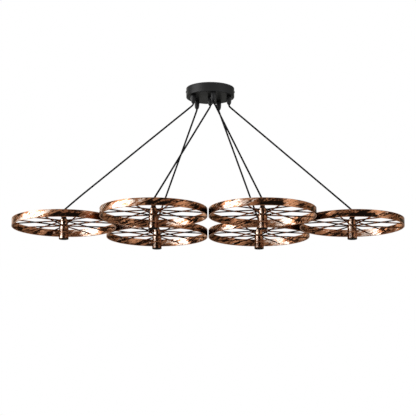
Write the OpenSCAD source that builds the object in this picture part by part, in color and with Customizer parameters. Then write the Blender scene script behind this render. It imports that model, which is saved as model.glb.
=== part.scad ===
// Wagon wheel chandelier. Six level wheels hang under one round canopy, each on its own slanting cord.
// Millimetres, +Z up. The origin is on the ceiling, at the centre of the canopy's crossbar.

/* [Canopy] */
// Outer diameter of the canopy
canopy_d = 150; // [144:1:180]
// Height of the canopy from the ceiling to its underside
canopy_h = 29; // [27:1:45]
// Sheet thickness of the canopy
canopy_wall = 1.5; // [1:0.1:2]
// Outer radius of the canopy's lower edge
canopy_edge_r = 2.5; // [2:0.1:4]

/* [Crossbar] */
// Width of the crossbar's strip
bar_w = 22; // [18:1:26]
// Thickness of the crossbar's strip
bar_t = 2; // [1.5:0.1:3]
// Height of the crossbar's two turned-down ears
bar_ear_h = 18; // [16:1:20]
// Gap between an ear's corners and the canopy's wall
bar_side_gap = 0.4; // [0.2:0.1:1]
// Distance between the two ceiling screw holes
ceiling_hole_pitch = 88.9; // [80:0.1:100]
// Diameter of a ceiling screw hole
ceiling_hole_d = 5.2; // [4.5:0.1:6]
// Depth of the canopy screws below the ceiling
canopy_screw_drop = 11; // [9:1:13]
// Thread diameter of the canopy screws and the earth screw
screw_d = 4; // [3:0.5:4]
// Head diameter of the canopy screws
screw_head_d = 7.6; // [6.5:0.1:9]
// Head height of the canopy screws
screw_head_h = 1.2; // [1:0.1:3]
// How far a canopy screw reaches past its ear
screw_reach = 3; // [1:0.5:5]
// Place of the earth screw along the crossbar
earth_screw_x = 22; // [18:1:28]

/* [Terminal block] */
// Length of the terminal block
block_l = 28; // [24:1:30]
// Width of the terminal block
block_w = 16; // [14:1:20]
// Height of the terminal block
block_h = 12; // [10:1:14]
// Place of the terminal block along the crossbar
block_x = -22; // [-25:1:-20]
// Thread diameter of the screw that holds the terminal block
block_screw_d = 3; // [2.5:0.5:4]
// Diameter of a cord's bundled cores inside the canopy
core_d = 3.2; // [2:0.1:3.6]
// Depth of the bundled cores' level run below the ceiling
core_drop = 9; // [8:0.5:10]
// Bend radius of the bundled cores
core_bend_r = 5; // [4:0.5:6]

/* [Cord grips] */
// Radius of the ring of five cord grips; the sixth is at the centre
grip_ring_r = 59; // [52:0.5:60]
// Turn of the ring: the first grip's angle from the far side towards the right
grip_ring_turn = 27; // [20:1:34]
// Diameter of a cord grip's collar
grip_d = 16; // [15:0.5:18]
// Height of the straight collar
grip_collar_h = 9; // [6:0.5:12]
// Whole length of a cord grip below the canopy
grip_h = 25; // [22:0.5:28]
// Diameter of a cord grip's shoulder, where it turns in to its tip
grip_shoulder_d = 13.6; // [12:0.1:14.8]
// Height of a cord grip's shoulder above its tip
grip_shoulder_h = 5.5; // [4:0.5:8]
// Diameter at a cord grip's tip
grip_tip_d = 8.6; // [8:0.1:10]
// Thread diameter of a cord grip
grip_thread_d = 10; // [8:0.5:11]
// Length of the thread above the canopy's underside
grip_thread_h = 10; // [8:0.5:12]
// Width across the flats of a grip's nut
nut_flats = 14; // [13:0.5:15]
// Thickness of a grip's nut
nut_t = 3; // [2:0.5:4]
// How far a cord's sheath stands above its grip's thread
tail_rise = 2; // [1:0.5:3]

/* [Cords] */
// Outer diameter of a cord
cord_d = 5.5; // [4.5:0.1:5.8]
// Drop from the canopy's underside to the wheels' middle plane
wheel_drop = 400; // [300:5:600]
// Room beside the cord where it leaves a grip or enters a cap
cord_mouth_gap = 0.85; // [0.6:0.05:1]
// Gap between a hanging cord's top end and its tail in the grip
cord_end_gap = 0.8; // [0.75:0.05:1]

/* [Wheels] */
// Outer diameter of a wheel
wheel_d = 320; // [280:1:340]
// Gap between neighbouring rims
rim_gap = 3; // [1:0.5:8]
// How far the wheels' group hangs to the left of the canopy's centre
group_shift = 7; // [0:1:15]
// Height of the rim's flat band
rim_h = 23; // [18:0.5:28]
// Thickness of the rim's flat band
rim_t = 3; // [2:0.1:5]
// Bevel along the rim's four edges
rim_bevel = 0.5; // [0.2:0.1:0.8]
// Number of spokes; every second one goes to the hub's lower flange
spoke_count = 16; // [8:2:20]
// Diameter of a spoke
spoke_d = 4; // [3:0.1:4.6]

/* [Hub] */
// Diameter of the hub between its flanges
hub_d = 24; // [22:0.5:26]
// Diameter of the hub's two flanges
hub_flange_d = 29; // [27:0.5:32]
// Thickness of a flange
hub_flange_t = 4; // [3:0.1:4.6]
// Height of the hub above the wheel's middle plane
hub_up = 11; // [10:0.5:13]
// Height of the hub below the wheel's middle plane
hub_down = 9; // [8:0.5:12]
// Height of the plain boss above the upper flange
hub_boss_h = 0.8; // [0.5:0.1:2]
// Bevel along the flanges' edges
hub_bevel = 0.4; // [0.2:0.1:0.8]
// Radial clearance of the hub on the lampholder's barrel
hub_fit = 0.05; // [0.02:0.01:0.1]
// Clearance between the hub and the shoulder that it rests on
hub_rest_gap = 0.1; // [0.05:0.05:0.3]
// Play between the hub and the cap above it
hub_top_play = 0.3; // [0.1:0.05:0.5]

/* [Cap] */
// Height of the cap's top above the wheel's middle plane
cap_top = 37; // [34:0.5:42]
// Diameter of the cap's neck
cap_neck_d = 14; // [13:0.5:16]
// Diameter of the cap's top face
cap_top_d = 11; // [9:0.5:12]
// Height of the slope from the neck to the top face
cap_slope_h = 3; // [2:0.5:4]
// Diameter of the cap's lower edge
cap_foot_d = 24; // [22:0.5:26]
// Height of the cap's flared foot
cap_flare_h = 9; // [6:0.5:10]
// Thickness of the flare's lower edge
cap_foot_t = 1; // [0.6:0.1:2]

/* [Lampholder shell] */
// Diameter of the barrel that runs up through the hub
barrel_d = 18; // [16:0.5:19]
// Diameter of the threaded spigot on the barrel, which the cap screws onto
spigot_d = 11; // [10:0.5:12]
// Height of the spigot
spigot_h = 6; // [4:0.5:8]
// Bore for the cores through the barrel and the cap
barrel_bore_d = 8; // [7:0.5:9]
// Diameter of the shell
shell_d = 28.6; // [28:0.1:30]
// Height of the shell from its shoulder to the groove
shell_h = 19; // [16:0.5:24]
// Thickness of the shoulder
shoulder_t = 2; // [1.5:0.1:3]
// Wall thickness of the shell
shell_wall = 1.8; // [1.6:0.1:2.2]
// Width of the groove round the shell
groove_w = 1.5; // [1:0.1:2.5]
// Depth of the groove below the shell's wall
groove_depth = 0.8; // [0.4:0.1:1]
// Diameter of the shell's collar below the groove
collar_d = 29.8; // [29:0.1:31]
// Height of the collar
collar_h = 19.5; // [16:0.5:24]

/* [Lamp socket] */
// Inner diameter of the screw shell, for a 14 mm lamp cap
screw_shell_d = 14; // [13.9:0.05:14.3]
// Wall thickness of the screw shell
screw_shell_t = 0.45; // [0.3:0.05:0.6]
// Length of the screw shell
screw_shell_h = 22; // [18:0.5:24]
// Depth of the insert's face above the collar's mouth
mouth_depth = 3; // [2:0.5:6]
// Depth of the screw shell's edge inside the insert
shell_inset = 1; // [0.5:0.5:2]
// Diameter of the centre contact
contact_d = 6.4; // [5:0.1:8]
// Thickness of the centre contact
contact_t = 1.2; // [0.8:0.1:2]
// Diameter of the centre contact's rivet
rivet_d = 3; // [2:0.1:4]

/* [Hidden] */
$fn = 64;
// clearance of pieces that are fixed to each other
FIXED_FIT = 0.05;
// clearance of a screw in a plain hole
SCREW_ROOM = 0.3;
// room between the screw shell's inner end and the centre contact
CONTACT_ROOM = 1;
// overlap of a cutter past the face that it cuts
CUT = 1;
CORD_SIDES = 10;
RING_GRIPS = 5;

PENDANTS = ["left", "near_left", "far_left", "near_right", "far_right", "right"];
PENDANT_PARTS = ["cord", "cap", "shell", "insert", "contacts", "hub", "spokes", "rim"];
CANOPY_PARTS = [
    "canopy_shell", "crossbar", "canopy_screws", "earth_screw", "terminal_block",
    "terminal_screw", "cord_grips", "grip_nuts", "cord_tails", "core_wires"
];

// each pendant's place in the ring of grips; CENTRE is the middle grip
CENTRE = -1;
GRIP_PLACES = [3, CENTRE, 4, 2, 0, 1];
function ring_angle(k) = grip_ring_turn + k * 360 / RING_GRIPS;
function ring_spot(k) = grip_ring_r * [sin(ring_angle(k)), cos(ring_angle(k))];
function grip_spot(i) = GRIP_PLACES[i] == CENTRE ? [0, 0] : ring_spot(GRIP_PLACES[i]);

// the wheels nest as circles do: four in a square, and one in the notch at either end
wheel_r = wheel_d / 2;
pitch = wheel_d + rim_gap;
inner_x = pitch / 2;
outer_x = inner_x + pitch * sqrt(3) / 2;
WHEEL_SPOTS = [
    [-outer_x, 0], [-inner_x, -inner_x], [-inner_x, inner_x],
    [inner_x, -inner_x], [inner_x, inner_x], [outer_x, 0]
];
wheel_z = -canopy_h - wheel_drop;
function wheel_spot(i) = WHEEL_SPOTS[i] - [group_shift, 0];

canopy_r = canopy_d / 2;
canopy_inner_r = canopy_r - canopy_wall;
ear_x = sqrt(pow(canopy_inner_r, 2) - pow(bar_w / 2, 2)) - bar_side_gap;
screw_r = screw_d / 2;
tapped_r = screw_r + FIXED_FIT;
block_screw_r = block_screw_d / 2;
block_top = -bar_t;
block_head_h = block_screw_r;

cord_r = cord_d / 2;
mouth_r = cord_r + cord_mouth_gap;
grip_bore_r = cord_r + FIXED_FIT;
grip_tip_z = -canopy_h - grip_h;
grip_thread_r = grip_thread_d / 2;
tail_top = -canopy_h + grip_thread_h + tail_rise;
MOUTH_H = 4;

rim_inner_r = wheel_r - rim_t;
hub_r = hub_d / 2;
flange_r = hub_flange_d / 2;
upper_flange_z = hub_up - hub_boss_h - hub_flange_t / 2;
lower_flange_z = -hub_down + hub_flange_t / 2;
hub_bore_r = barrel_d / 2 + hub_fit;

barrel_r = barrel_d / 2;
bore_r = barrel_bore_d / 2;
shoulder_z = -hub_down - hub_rest_gap;
cap_foot_z = hub_up + hub_top_play;
spigot_r = spigot_d / 2;
spigot_top = cap_foot_z + spigot_h;
shell_r = shell_d / 2;
shell_inner_r = shell_r - shell_wall;
groove_z = shoulder_z - shell_h;
collar_z = groove_z - groove_w;
shell_end_z = collar_z - collar_h;
insert_r = shell_inner_r - FIXED_FIT;
insert_top = shoulder_z - shoulder_t - FIXED_FIT;
insert_end_z = shell_end_z + mouth_depth;
screw_shell_r = screw_shell_d / 2;
screw_shell_outer_r = screw_shell_r + screw_shell_t;
screw_shell_low = insert_end_z + shell_inset;
socket_top = screw_shell_low + screw_shell_h + CONTACT_ROOM + contact_t;
rivet_r = rivet_d / 2;

// The cords' routes, from the grip's tip to the cap's mouth. Each leaves the grip straight down, turns
// within a few diameters, runs straight, and turns down again into the cap.
ROUTES = [
    // left
    [
        [-52.6, -26.8, -54], [-53.7, -26.7, -59.1], [-57, -26.5, -63.3],
        [-106.6, -23.2, -104], [-156.1, -19.8, -144.7], [-205.7, -16.5, -185.3],
        [-255.2, -13.1, -226], [-304.7, -9.7, -266.6], [-354.2, -6.4, -307.2],
        [-399, -3.3, -344], [-443.8, -0.3, -382.7], [-447.1, 0, -386.9], [-448.2, 0, -392]
    ],
    // near_left
    [
        [0, 0, -54], [-0.4, -0.4, -57.7], [-1.6, -1.5, -61],
        [-25.2, -24.2, -107.4], [-48.8, -46.8, -153.8], [-72.4, -69.4, -200.2],
        [-96, -92, -246.6], [-119.6, -114.6, -293], [-143.2, -137.3, -339.4],
        [-166.9, -160, -385], [-168.1, -161.1, -388.3], [-168.5, -161.5, -392]
    ],
    // far_left
    [
        [-41.7, 41.7, -54], [-42, 41.9, -56.9], [-42.7, 42.6, -59.6],
        [-60.5, 59.4, -106.1], [-78.2, 76.2, -152.6], [-96, 93, -199.1],
        [-113.8, 109.9, -245.7], [-131.7, 126.8, -292.6], [-149.6, 143.7, -339.5],
        [-167.5, 160.6, -386.4], [-168.2, 161.3, -389.1], [-168.5, 161.5, -392]
    ],
    // near_right
    [
        [9.2, -58.3, -54], [9.5, -58.5, -56.9], [10.4, -59.1, -59.7],
        [30.8, -73.6, -106.2], [51.1, -88.1, -152.7], [71.5, -102.6, -199.2],
        [91.8, -117.1, -245.9], [112.3, -131.6, -292.7], [132.8, -146.1, -339.5],
        [153.3, -160.7, -386.3], [154.2, -161.3, -389.1], [154.5, -161.5, -392]
    ],
    // far_right
    [
        [26.8, 52.6, -54], [27.1, 52.8, -56.8], [27.8, 53.4, -59.4],
        [45.7, 68.7, -106], [63.7, 84, -152.6], [81.7, 99.4, -199.2],
        [99.6, 114.7, -245.9], [117.6, 130, -292.8], [135.6, 145.3, -339.7],
        [153.5, 160.7, -386.6], [154.2, 161.3, -389.2], [154.5, 161.5, -392]
    ],
    // right
    [
        [58.3, -9.2, -54], [59.4, -9.2, -59], [62.4, -9.1, -63.1],
        [109.4, -8, -103.9], [156.3, -6.8, -144.7], [203.3, -5.7, -185.5],
        [250.2, -4.5, -226.3], [297.2, -3.3, -267], [344.1, -2.2, -307.8],
        [387.1, -1.1, -345.3], [430.1, -0.1, -382.9], [433.1, 0, -387], [434.2, 0, -392]
    ]
];

function unit(v) = v / norm(v);
function tangent(route, k) =
    k == 0 || k == len(route) - 1 ? [0, 0, -1] : unit(unit(route[k + 1] - route[k]) + unit(route[k] - route[k - 1]));
function across(route) =
    let (d = route[len(route) - 1] - route[0])
    unit([-d[1], d[0], 0]);
function cord_ring(route, k) =
    let (side = across(route), up = cross(side, tangent(route, k)))
    [for (s = [0 : CORD_SIDES - 1])
        let (a = s * 360 / CORD_SIDES)
        route[k] + cord_r * (cos(a) * side + sin(a) * up)];

// one cord: a ring of points at every point of its route, joined by flat faces
module swept_cord(route) {
    rings = len(route);
    last = (rings - 1) * CORD_SIDES;
    points = [for (k = [0 : rings - 1]) each cord_ring(route, k)];
    sides = [for (k = [0 : rings - 2]) for (s = [0 : CORD_SIDES - 1])
        let (a = k * CORD_SIDES + s, b = k * CORD_SIDES + (s + 1) % CORD_SIDES)
        each [[a, b, a + CORD_SIDES], [b, b + CORD_SIDES, a + CORD_SIDES]]];
    start = [[for (s = [CORD_SIDES - 1 : -1 : 0]) s]];
    end = [[for (s = [0 : CORD_SIDES - 1]) last + s]];
    polyhedron(points = points, faces = concat(sides, start, end), convexity = 4);
}

module at_wheel(i) {
    translate([wheel_spot(i)[0], wheel_spot(i)[1], wheel_z]) children();
}

module at_grips() {
    for (i = [0 : len(PENDANTS) - 1])
        translate([grip_spot(i)[0], grip_spot(i)[1], 0]) children();
}

// half outline of a plain drum with a rounded lower edge, open at the top
module drum_outline(r, h, edge) {
    translate([0, -h]) square([r - edge, h]);
    translate([0, edge - h]) square([r, h - edge]);
    translate([r - edge, edge - h]) circle(r = edge);
}

// half outline of a flat ring with bevelled edges
module bevelled_band(inner, outer, low, high, bevel) {
    polygon([
        [inner, low + bevel], [inner + bevel, low], [outer - bevel, low], [outer, low + bevel],
        [outer, high - bevel], [outer - bevel, high], [inner + bevel, high], [inner, high - bevel]
    ]);
}

// a tube between two heights
module tube(inner, outer, low, high) {
    translate([0, 0, low])
        difference() {
            cylinder(r = outer, h = high - low);
            translate([0, 0, -CUT]) cylinder(r = inner, h = high - low + 2 * CUT);
        }
}

// Canopy -------------------------------------------------------------------------------------------

module canopy_shell() {
    color("#1c1c1d")
        difference() {
            rotate_extrude()
                difference() {
                    drum_outline(canopy_r, canopy_h, canopy_edge_r);
                    drum_outline(canopy_inner_r, canopy_h - canopy_wall, canopy_edge_r - canopy_wall);
                    translate([-canopy_r, -2 * canopy_h]) square([canopy_r, 3 * canopy_h]);
                }
            at_grips()
                translate([0, 0, -canopy_h - CUT])
                    cylinder(r = grip_thread_r + SCREW_ROOM / 2, h = canopy_wall + 2 * CUT);
            for (side = [-1, 1])
                translate([side * (canopy_inner_r - CUT), 0, -canopy_screw_drop])
                    rotate([0, side * 90, 0])
                        cylinder(r = screw_r + SCREW_ROOM, h = canopy_wall + 2 * CUT);
        }
}

module crossbar() {
    color("#c9ccd0")
        difference() {
            union() {
                translate([-ear_x, -bar_w / 2, -bar_t]) cube([2 * ear_x, bar_w, bar_t]);
                for (x = [-ear_x, ear_x - bar_t])
                    translate([x, -bar_w / 2, -bar_ear_h]) cube([bar_t, bar_w, bar_ear_h]);
            }
            for (side = [-1, 1]) {
                translate([side * ceiling_hole_pitch / 2, 0, -bar_t - CUT])
                    cylinder(d = ceiling_hole_d, h = bar_t + 2 * CUT);
                translate([side * (ear_x - bar_t - CUT), 0, -canopy_screw_drop])
                    rotate([0, side * 90, 0]) cylinder(r = tapped_r, h = bar_t + 2 * CUT);
            }
            translate([earth_screw_x, 0, -bar_t - CUT]) cylinder(r = tapped_r, h = bar_t + 2 * CUT);
            translate([block_x, 0, -bar_t - CUT])
                cylinder(r = block_screw_r + FIXED_FIT, h = bar_t + 2 * CUT);
        }
}

module canopy_screws() {
    head_x = canopy_r + FIXED_FIT;
    shank_l = head_x - (ear_x - bar_t) + screw_reach;
    color("#1c1c1d")
        for (side = [-1, 1])
            translate([side * head_x, 0, -canopy_screw_drop])
                rotate([0, side * 90, 0]) {
                    translate([0, 0, -shank_l]) cylinder(r = screw_r, h = shank_l);
                    cylinder(d1 = screw_head_d, d2 = screw_head_d - screw_head_h, h = screw_head_h);
                }
}

module earth_screw() {
    head_h = screw_r;
    color("#3f8f4a")
        translate([earth_screw_x, 0, 0]) {
            translate([0, 0, -bar_t - CUT]) cylinder(r = screw_r, h = bar_t + CUT);
            translate([0, 0, -bar_t - head_h - FIXED_FIT])
                cylinder(d1 = screw_head_d - head_h, d2 = screw_head_d, h = head_h);
        }
}

module terminal_block() {
    color("#e8e4d8")
        difference() {
            translate([block_x - block_l / 2, -block_w / 2, block_top - block_h])
                cube([block_l, block_w, block_h]);
            translate([block_x, 0, block_top - block_h - CUT])
                cylinder(r = block_screw_r + SCREW_ROOM, h = block_h + 2 * CUT);
            translate([block_x, 0, block_top - block_h - CUT])
                cylinder(r = 2 * block_screw_r + SCREW_ROOM, h = block_head_h + CUT);
        }
}

module terminal_screw() {
    low = block_top - block_h;
    color("#c9ccd0")
        translate([block_x, 0, 0]) {
            translate([0, 0, low + block_head_h]) cylinder(r = block_screw_r, h = block_h - block_head_h + bar_t);
            translate([0, 0, low]) cylinder(r = 2 * block_screw_r, h = block_head_h);
        }
}

module cord_grips() {
    tip_r = grip_tip_d / 2;
    color("#141414")
        at_grips()
            translate([0, 0, -canopy_h])
                rotate_extrude()
                    polygon([
                        [grip_bore_r, -grip_h + MOUTH_H], [mouth_r, -grip_h], [tip_r, -grip_h],
                        [grip_shoulder_d / 2, -grip_h + grip_shoulder_h],
                        [grip_d / 2, -grip_collar_h], [grip_d / 2, 0], [grip_thread_r, 0],
                        [grip_thread_r, grip_thread_h], [grip_bore_r, grip_thread_h]
                    ]);
}

module grip_nuts() {
    color("#8a8d90")
        at_grips()
            translate([0, 0, canopy_wall - canopy_h])
                difference() {
                    cylinder(r = nut_flats / sqrt(3), h = nut_t, $fn = 6);
                    translate([0, 0, -CUT]) cylinder(r = grip_thread_r + FIXED_FIT, h = nut_t + 2 * CUT);
                }
}

module cord_tails() {
    low = grip_tip_z + cord_end_gap;
    color("#181818")
        at_grips()
            translate([0, 0, low]) cylinder(r = cord_r, h = tail_top - low);
}

// where each cord's cores enter the terminal block: on its two long sides and its right end
core_side_y = block_w / 2 + FIXED_FIT;
core_end_x = block_x + block_l / 2 + FIXED_FIT;
CORE_STEP = 9;
CORE_ENDS = [
    [block_x - CORE_STEP, -core_side_y], [core_end_x, 0], [block_x - CORE_STEP, core_side_y],
    [block_x + CORE_STEP, -core_side_y], [block_x + CORE_STEP, core_side_y], [core_end_x, -block_w / 3]
];

// the bundled cores of one cord: up from the tail, over in a quarter turn, and level to the block
module core_run(from, to) {
    way = to - from;
    level = -core_drop;
    rise = level - core_bend_r - tail_top;
    translate([from[0], from[1], tail_top])
        rotate([0, 0, atan2(way[1], way[0])]) {
            cylinder(d = core_d, h = rise);
            translate([core_bend_r, 0, rise])
                rotate([90, 0, 180])
                    rotate_extrude(angle = 90) translate([core_bend_r, 0]) circle(d = core_d);
            translate([core_bend_r, 0, rise + core_bend_r])
                rotate([0, 90, 0]) cylinder(d = core_d, h = norm(way) - core_bend_r);
        }
}

module core_wires() {
    color("#7a4a2a")
        difference() {
            for (i = [0 : len(PENDANTS) - 1]) core_run(grip_spot(i), CORE_ENDS[i]);
            translate([block_x - block_l / 2 - FIXED_FIT, -core_side_y, block_top - block_h])
                cube([block_l + 2 * FIXED_FIT, 2 * core_side_y, block_h]);
        }
}

// Pendants -----------------------------------------------------------------------------------------

module cord(i) {
    color("#181818") swept_cord(ROUTES[i]);
}

module cap(i) {
    neck_r = cap_neck_d / 2;
    foot_r = cap_foot_d / 2;
    flare_r = foot_r - neck_r;
    flare_low = cap_foot_z + cap_foot_t;
    flare_steps = 6;
    // a quarter of an ellipse sweeps from the upright neck out to the foot
    flare = [for (k = [0 : flare_steps])
        let (a = k * 90 / flare_steps)
        [neck_r + flare_r * (1 - cos(a)), flare_low + cap_flare_h * (1 - sin(a))]];
    color("#7d4b2e")
        at_wheel(i)
            rotate_extrude()
                polygon(concat(
                    [[mouth_r, cap_top], [cap_top_d / 2, cap_top], [neck_r, cap_top - cap_slope_h]],
                    flare,
                    [
                        [foot_r, cap_foot_z], [spigot_r + FIXED_FIT, cap_foot_z],
                        [spigot_r + FIXED_FIT, spigot_top + FIXED_FIT], [bore_r, spigot_top + FIXED_FIT],
                        [bore_r, cap_top - 2 * MOUTH_H], [grip_bore_r, cap_top - MOUTH_H]
                    ]
                ));
}

module shell(i) {
    groove_r = shell_r - groove_depth;
    color("#7d4b2e")
        at_wheel(i)
            rotate_extrude()
                polygon([
                    [bore_r, spigot_top], [spigot_r, spigot_top], [spigot_r, cap_foot_z],
                    [barrel_r, cap_foot_z], [barrel_r, shoulder_z],
                    [shell_r - hub_bevel, shoulder_z], [shell_r, shoulder_z - hub_bevel],
                    [shell_r, groove_z], [groove_r, groove_z], [groove_r, collar_z],
                    [collar_d / 2, collar_z], [collar_d / 2, shell_end_z],
                    [shell_inner_r, shell_end_z], [shell_inner_r, shoulder_z - shoulder_t],
                    [bore_r, shoulder_z - shoulder_t]
                ]);
}

module insert(i) {
    color("#161616")
        at_wheel(i)
            rotate_extrude()
                polygon([
                    [rivet_r + FIXED_FIT, insert_top], [insert_r, insert_top], [insert_r, insert_end_z],
                    [screw_shell_outer_r + FIXED_FIT, insert_end_z],
                    [screw_shell_outer_r + FIXED_FIT, socket_top], [rivet_r + FIXED_FIT, socket_top]
                ]);
}

module contacts(i) {
    color("#c8a04a")
        at_wheel(i) {
            tube(screw_shell_r, screw_shell_outer_r, screw_shell_low, screw_shell_low + screw_shell_h);
            translate([0, 0, socket_top - contact_t]) cylinder(d = contact_d, h = contact_t);
            translate([0, 0, socket_top]) cylinder(r = rivet_r, h = insert_top - socket_top);
        }
}

module hub(i) {
    color("#7d4b2e")
        at_wheel(i)
            rotate_extrude()
                union() {
                    translate([hub_bore_r, -hub_down]) square([hub_r - hub_bore_r, hub_up + hub_down]);
                    for (z = [lower_flange_z, upper_flange_z])
                        bevelled_band(hub_bore_r, flange_r, z - hub_flange_t / 2, z + hub_flange_t / 2, hub_bevel);
                }
}

// straight rods, by turns from the upper and the lower flange, all to the middle of the rim's inner face
module spokes(i) {
    inner = flange_r + FIXED_FIT;
    outer = rim_inner_r - FIXED_FIT;
    color("#6b4029")
        at_wheel(i)
            intersection() {
                for (k = [0 : spoke_count - 1]) {
                    z = k % 2 == 0 ? upper_flange_z : lower_flange_z;
                    run = norm([rim_inner_r - flange_r, z]);
                    rotate([0, 0, 90 - k * 360 / spoke_count])
                        translate([flange_r, 0, z])
                            rotate([0, 90 + atan2(z, rim_inner_r - flange_r), 0])
                                translate([0, 0, -CUT]) cylinder(d = spoke_d, h = run + 2 * CUT);
                }
                tube(inner, outer, -hub_down - spoke_d, hub_up + spoke_d);
            }
}

module rim(i) {
    color("#7d4b2e")
        at_wheel(i)
            rotate_extrude() bevelled_band(rim_inner_r, wheel_r, -rim_h / 2, rim_h / 2, rim_bevel);
}

canopy_shell();
crossbar();
canopy_screws();
earth_screw();
terminal_block();
terminal_screw();
cord_grips();
grip_nuts();
cord_tails();
core_wires();
for (i = [0 : len(PENDANTS) - 1]) {
    cord(i);
    cap(i);
    shell(i);
    insert(i);
    contacts(i);
    hub(i);
    spokes(i);
    rim(i);
}
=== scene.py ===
"""Wagon wheel chandelier: the finishes and fine shapes of its canopy, cords, lampholders and wheels.

Metres, +Z up, the origin on the ceiling at the canopy's centre. The viewer stands on the -Y side.
Sizes that are written in millimetres are multiplied by MM where a form is made.
"""

import math

import bmesh
import bpy
import numpy as np
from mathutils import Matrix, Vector


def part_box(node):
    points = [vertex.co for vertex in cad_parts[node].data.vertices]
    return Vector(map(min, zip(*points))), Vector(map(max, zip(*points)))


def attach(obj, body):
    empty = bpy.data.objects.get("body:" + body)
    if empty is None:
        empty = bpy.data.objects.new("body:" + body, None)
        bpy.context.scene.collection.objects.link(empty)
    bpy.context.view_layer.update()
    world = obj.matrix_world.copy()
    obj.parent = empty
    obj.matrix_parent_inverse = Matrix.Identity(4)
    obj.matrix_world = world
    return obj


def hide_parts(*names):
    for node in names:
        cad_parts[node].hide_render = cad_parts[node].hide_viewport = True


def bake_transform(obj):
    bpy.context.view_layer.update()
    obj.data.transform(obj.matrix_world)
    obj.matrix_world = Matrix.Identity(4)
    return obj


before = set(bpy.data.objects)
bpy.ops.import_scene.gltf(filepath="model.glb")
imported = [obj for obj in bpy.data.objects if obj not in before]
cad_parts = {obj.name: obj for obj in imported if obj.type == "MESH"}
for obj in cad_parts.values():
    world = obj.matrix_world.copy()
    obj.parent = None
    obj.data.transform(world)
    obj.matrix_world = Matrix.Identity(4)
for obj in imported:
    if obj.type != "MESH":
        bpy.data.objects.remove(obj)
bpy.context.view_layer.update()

MM = 0.001
PENDANTS = ("left", "near_left", "far_left", "near_right", "far_right", "right")

# Camera: where it stands, how far it looks up, its lens and its sensor ---------
CAMERA_PLACE = (-0.007, -4.633, -1.367)
CAMERA_UP_DEG = 12.02
CAMERA_LENS = 133.5
CAMERA_SENSOR = 36.0
CAMERA_REACH = 50.0

# Cords: the route of each free stretch, in metres, and their thickness ---
CORD_D = 5.5 * MM
ROUTES = {
    "left": [
        (-0.0526, -0.0268, -0.054), (-0.0537, -0.0267, -0.0591), (-0.057, -0.0265, -0.0633),
        (-0.1066, -0.0232, -0.104), (-0.1561, -0.0198, -0.1447), (-0.2057, -0.0165, -0.1853),
        (-0.2552, -0.0131, -0.226), (-0.3047, -0.0097, -0.2666), (-0.3542, -0.0064, -0.3072),
        (-0.399, -0.0033, -0.344), (-0.4438, -0.0003, -0.3827), (-0.4471, 0.0, -0.3869),
        (-0.4482, 0.0, -0.392),
    ],
    "near_left": [
        (0.0, 0.0, -0.054), (-0.0004, -0.0004, -0.0577), (-0.0016, -0.0015, -0.061),
        (-0.0252, -0.0242, -0.1074), (-0.0488, -0.0468, -0.1538), (-0.0724, -0.0694, -0.2002),
        (-0.096, -0.092, -0.2466), (-0.1196, -0.1146, -0.293), (-0.1432, -0.1373, -0.3394),
        (-0.1669, -0.16, -0.385), (-0.1681, -0.1611, -0.3883), (-0.1685, -0.1615, -0.392),
    ],
    "far_left": [
        (-0.0417, 0.0417, -0.054), (-0.042, 0.0419, -0.0569), (-0.0427, 0.0426, -0.0596),
        (-0.0605, 0.0594, -0.1061), (-0.0782, 0.0762, -0.1526), (-0.096, 0.093, -0.1991),
        (-0.1138, 0.1099, -0.2457), (-0.1317, 0.1268, -0.2926), (-0.1496, 0.1437, -0.3395),
        (-0.1675, 0.1606, -0.3864), (-0.1682, 0.1613, -0.3891), (-0.1685, 0.1615, -0.392),
    ],
    "near_right": [
        (0.0092, -0.0583, -0.054), (0.0095, -0.0585, -0.0569), (0.0104, -0.0591, -0.0597),
        (0.0308, -0.0736, -0.1062), (0.0511, -0.0881, -0.1527), (0.0715, -0.1026, -0.1992),
        (0.0918, -0.1171, -0.2459), (0.1123, -0.1316, -0.2927), (0.1328, -0.1461, -0.3395),
        (0.1533, -0.1607, -0.3863), (0.1542, -0.1613, -0.3891), (0.1545, -0.1615, -0.392),
    ],
    "far_right": [
        (0.0268, 0.0526, -0.054), (0.0271, 0.0528, -0.0568), (0.0278, 0.0534, -0.0594),
        (0.0457, 0.0687, -0.106), (0.0637, 0.084, -0.1526), (0.0817, 0.0994, -0.1992),
        (0.0996, 0.1147, -0.2459), (0.1176, 0.13, -0.2928), (0.1356, 0.1453, -0.3397),
        (0.1535, 0.1607, -0.3866), (0.1542, 0.1613, -0.3892), (0.1545, 0.1615, -0.392),
    ],
    "right": [
        (0.0583, -0.0092, -0.054), (0.0594, -0.0092, -0.059), (0.0624, -0.0091, -0.0631),
        (0.1094, -0.008, -0.1039), (0.1563, -0.0068, -0.1447), (0.2033, -0.0057, -0.1855),
        (0.2502, -0.0045, -0.2263), (0.2972, -0.0033, -0.267), (0.3441, -0.0022, -0.3078),
        (0.3871, -0.0011, -0.3453), (0.4301, -0.0001, -0.3829), (0.4331, 0.0, -0.387),
        (0.4342, 0.0, -0.392),
    ],
}
CORD_SIDES = 16
BEND_STRETCHES = 2    # stretches at either end of a route that lie in a bend
BEND_STEPS = 4        # points for each stretch inside a bend
STRAIGHT_STEPS = 2    # points for each other stretch
TOP_REACH = 0.8 * MM  # how far a cord goes up into its grip
LOW_REACH = 1.2 * MM  # how far it goes down into its cap's mouth

# Canopy and cord grips ---------------------------
CANOPY_WALL = 1.5
CANOPY_EDGE = 2.5
GRIP_R = 8.0
GRIP_TIP_R = 4.3
GRIP_MOUTH_R = 3.6
GRIP_BORE_R = 2.8
GRIP_COLLAR_H = 9.0
GRIP_H = 25.0
GRIP_SHOULDER_R = 6.8
GRIP_SHOULDER_H = 5.5
GRIP_THREAD_R = 5.0
GRIP_THREAD_H = 10.0
NUT_FLATS = 14.0
NUT_T = 3.0
SCREW_DROP = 11.0
SCREW_R = 2.0
SCREW_HEAD_H = 1.2
GRIP_SPOTS = [(ROUTES[pendant][0][0] / MM, ROUTES[pendant][0][1] / MM) for pendant in PENDANTS]
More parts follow.
